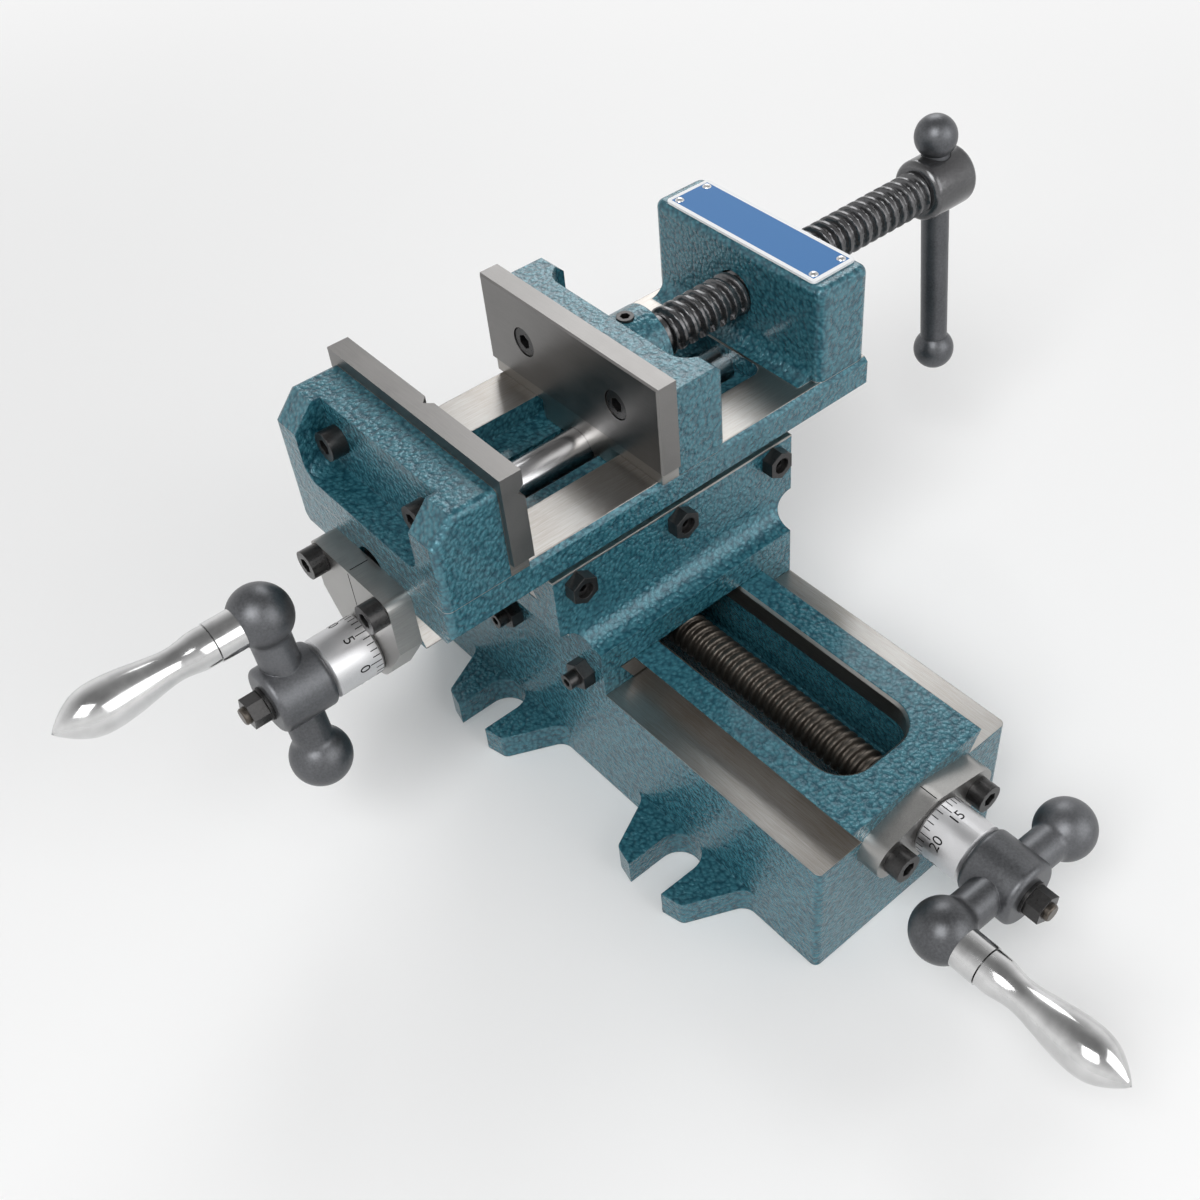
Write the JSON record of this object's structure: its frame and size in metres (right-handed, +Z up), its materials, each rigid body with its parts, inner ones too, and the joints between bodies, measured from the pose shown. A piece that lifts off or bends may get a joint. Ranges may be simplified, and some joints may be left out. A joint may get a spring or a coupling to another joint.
{
  "type": "cross slide vise",
  "caption": "Milling vise on a two-way dovetail cross slide, with crank feed screws and dials, a slotted base and a jaw screw with a sliding tommy bar.",
  "frame": {"origin": "middle of the base's underside", "axes": "+Z up, Y along the base and its feed screw, +X from the fixed jaw to the jaw screw's handle"},
  "size_m": [0.3193, 0.2723, 0.1391],
  "materials": {
    "blue_paint": "hammertone",
    "dark_steel": "ground",
    "brushed_aluminium": "brushed",
    "polished_steel": "polished",
    "name_plate": "satin",
    "rivet_aluminium": "satin",
    "bronze": "machined",
    "ground_iron": "machined",
    "black_steel": "black oxide",
    "grey_steel": "phosphated"
  },
  "bodies": {
    "base": {"base_casting": "blue_paint", "lower_bracket": "ground_iron", "lower_bracket_screws": "black_steel"},
    "saddle": {"lower_feed_nut": "bronze", "lower_feed_nut_screws": "black_steel", "lower_gib": "ground_iron", "lower_gib_lock_nuts": "black_steel", "lower_gib_screws": "black_steel", "saddle_casting": "blue_paint", "upper_feed_nut": "bronze", "upper_feed_nut_screws": "black_steel", "upper_gib": "ground_iron", "upper_gib_lock_nuts": "black_steel", "upper_gib_screws": "black_steel"},
    "vise_body": {"vise_body_casting": "blue_paint", "fixed_jaw_plate": "dark_steel", "fixed_jaw_plate_screws": "black_steel", "guide_bar": "polished_steel", "name_plate": "name_plate", "name_plate_rivets": "rivet_aluminium", "upper_bracket": "ground_iron", "upper_bracket_screws": "black_steel"},
    "lower_drive": {"lower_feed_screw": "grey_steel", "lower_dial": "brushed_aluminium", "lower_crank": "grey_steel", "lower_crank_washer": "black_steel", "lower_crank_nut": "black_steel", "lower_grip_pin": "grey_steel"},
    "lower_grip": {"lower_grip": "polished_steel"},
    "upper_drive": {"upper_feed_screw": "grey_steel", "upper_dial": "brushed_aluminium", "upper_crank": "grey_steel", "upper_crank_washer": "black_steel", "upper_crank_nut": "black_steel", "upper_grip_pin": "grey_steel"},
    "upper_grip": {"upper_grip": "polished_steel"},
    "movable_jaw": {"movable_jaw_casting": "blue_paint", "movable_jaw_plate": "dark_steel", "movable_jaw_plate_screws": "black_steel", "jaw_retaining_screw": "black_steel"},
    "jaw_screw": {"jaw_screw": "grey_steel"},
    "tommy_bar": {"tommy_bar": "grey_steel", "tommy_bar_balls": "black_steel"}
  },
  "joints": [
    {"name": "lower_screw_turn", "type": "hinge", "parent": "base", "child": "lower_drive", "pos_m": [0, -0.092, 0.04], "axis": [0, 1, 0], "range_deg": [-10080, 2640]},
    {"name": "saddle_slide", "type": "slide", "parent": "base", "child": "saddle", "axis": [0, 1, 0], "range_m": [-0.084, 0.022]},
    {"name": "lower_grip_spin", "type": "hinge", "parent": "lower_drive", "child": "lower_grip", "pos_m": [-0.02496, -0.14, 0.04262], "axis": [0, 1, 0], "continuous": true},
    {"name": "body_slide", "type": "slide", "parent": "saddle", "child": "vise_body", "axis": [1, 0, 0], "range_m": [-0.045, 0.032]},
    {"name": "upper_screw_turn", "type": "hinge", "parent": "vise_body", "child": "upper_drive", "pos_m": [-0.0774, 0.036, 0.07], "axis": [1, 0, 0], "range_deg": [-5400, 3840]},
    {"name": "upper_grip_spin", "type": "hinge", "parent": "upper_drive", "child": "upper_grip", "pos_m": [-0.13, 0.04036, 0.09472], "axis": [1, 0, 0], "continuous": true},
    {"name": "jaw_slide", "type": "slide", "parent": "vise_body", "child": "movable_jaw", "axis": [1, 0, 0], "range_m": [-0.043, 0.031]},
    {"name": "jaw_screw_turn", "type": "hinge", "parent": "movable_jaw", "child": "jaw_screw", "pos_m": [-0.0074, 0.036, 0.11685], "axis": [1, 0, 0], "range_deg": [-3870, 2790]},
    {"name": "tommy_bar_slide", "type": "slide", "parent": "jaw_screw", "child": "tommy_bar", "axis": [0, 0.0941, 0.9956], "range_m": [0, 0.0465]}
  ],
  "couplings": [
    {"joint": "lower_screw_turn", "follows": "saddle_slide", "rad_per_m": 2094.4},
    {"joint": "upper_screw_turn", "follows": "body_slide", "rad_per_m": 2094.4},
    {"joint": "jaw_screw_turn", "follows": "jaw_slide", "rad_per_m": 1570.8}
  ]
}
